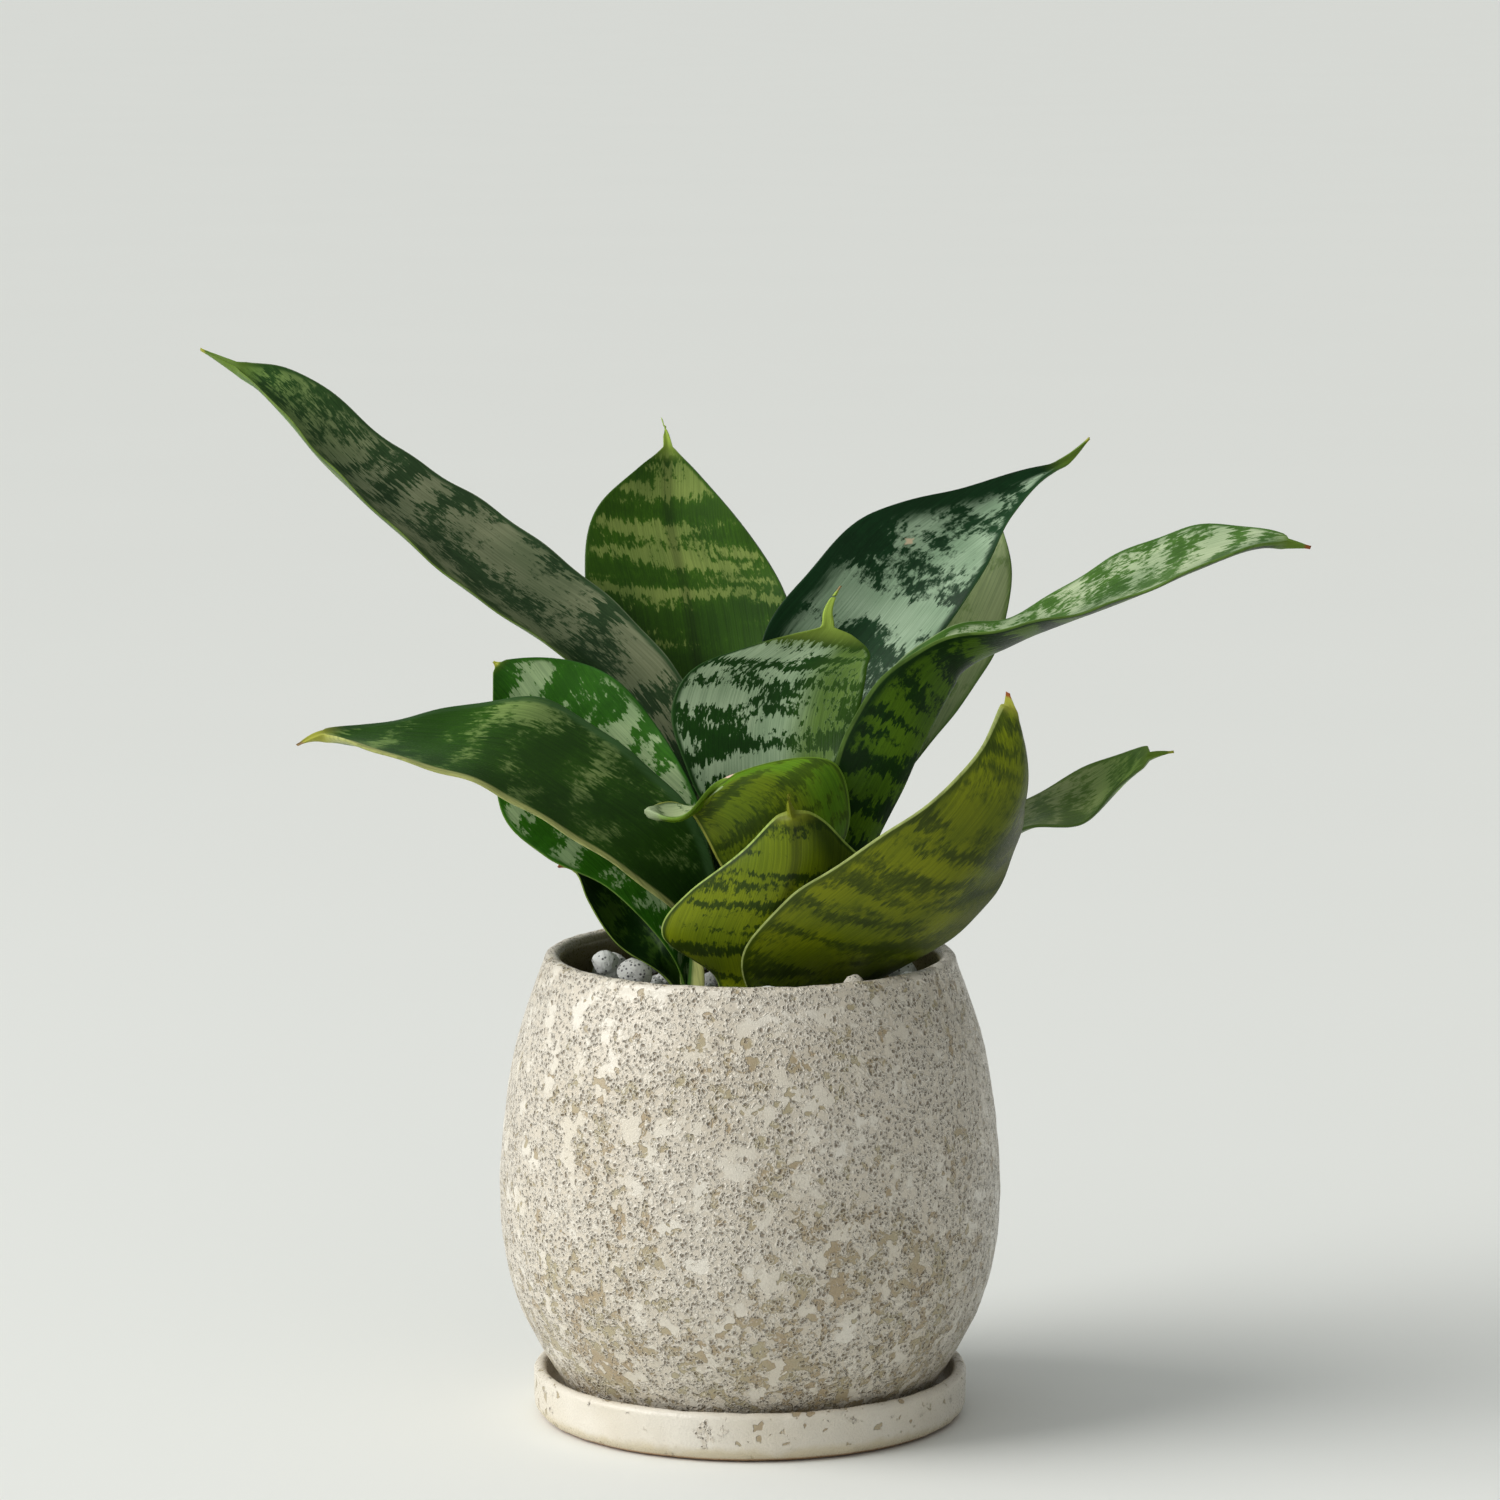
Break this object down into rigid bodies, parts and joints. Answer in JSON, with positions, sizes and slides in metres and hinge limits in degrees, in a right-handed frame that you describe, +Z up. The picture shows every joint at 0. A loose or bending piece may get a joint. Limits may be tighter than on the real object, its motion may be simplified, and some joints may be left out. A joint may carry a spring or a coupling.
{
  "type": "potted snake plant",
  "caption": "Bird's-nest snake plant with broad mottled leaves in an egg-shaped cream glazed pot on a matching saucer, its soil dressed with pale pebbles.",
  "frame": {"origin": "centre of the saucer's flat underside, which rests on the table", "axes": "+Z up, along the axis of the pot and saucer; -Y is the front of the plant and +X its right as seen from the front"},
  "size_m": [0.2597, 0.1164, 0.2455],
  "materials": {
    "saucer_glaze": "satin",
    "pot_glaze": "satin",
    "soil": "matte",
    "crown": "matte",
    "pumice": "matte",
    "leaf_01_long_left": "satin",
    "leaf_02_back_upright": "satin",
    "leaf_03_back_right": "satin",
    "leaf_04_far_right": "satin",
    "leaf_05_long_right": "satin",
    "leaf_06_centre": "satin",
    "leaf_07_broad_left": "satin",
    "leaf_08_front_left": "satin",
    "leaf_09_low_left": "satin",
    "leaf_10_front_right": "satin",
    "leaf_11_front_centre": "satin",
    "leaf_12_curled": "satin",
    "leaf_13_low_right": "satin"
  },
  "bodies": {
    "root": {"saucer": "saucer_glaze", "pot": "pot_glaze", "soil": "soil", "crown": "crown", "leaf_01_long_left": "leaf_01_long_left", "leaf_02_back_upright": "leaf_02_back_upright", "leaf_03_back_right": "leaf_03_back_right", "leaf_04_far_right": "leaf_04_far_right", "leaf_05_long_right": "leaf_05_long_right", "leaf_06_centre": "leaf_06_centre", "leaf_07_broad_left": "leaf_07_broad_left", "leaf_08_front_left": "leaf_08_front_left", "leaf_09_low_left": "leaf_09_low_left", "leaf_10_front_right": "leaf_10_front_right", "leaf_11_front_centre": "leaf_11_front_centre", "leaf_12_curled": "leaf_12_curled", "leaf_13_low_right": "leaf_13_low_right", "pebble_01": "pumice", "pebble_02": "pumice", "pebble_03": "pumice", "pebble_04": "pumice", "pebble_05": "pumice", "pebble_06": "pumice", "pebble_07": "pumice", "pebble_08": "pumice", "pebble_09": "pumice", "pebble_10": "pumice", "pebble_11": "pumice", "pebble_12": "pumice", "pebble_13": "pumice", "pebble_14": "pumice", "pebble_15": "pumice", "pebble_16": "pumice", "pebble_17": "pumice", "pebble_18": "pumice", "pebble_19": "pumice", "pebble_20": "pumice", "pebble_21": "pumice", "pebble_22": "pumice"}
  },
  "joints": []
}
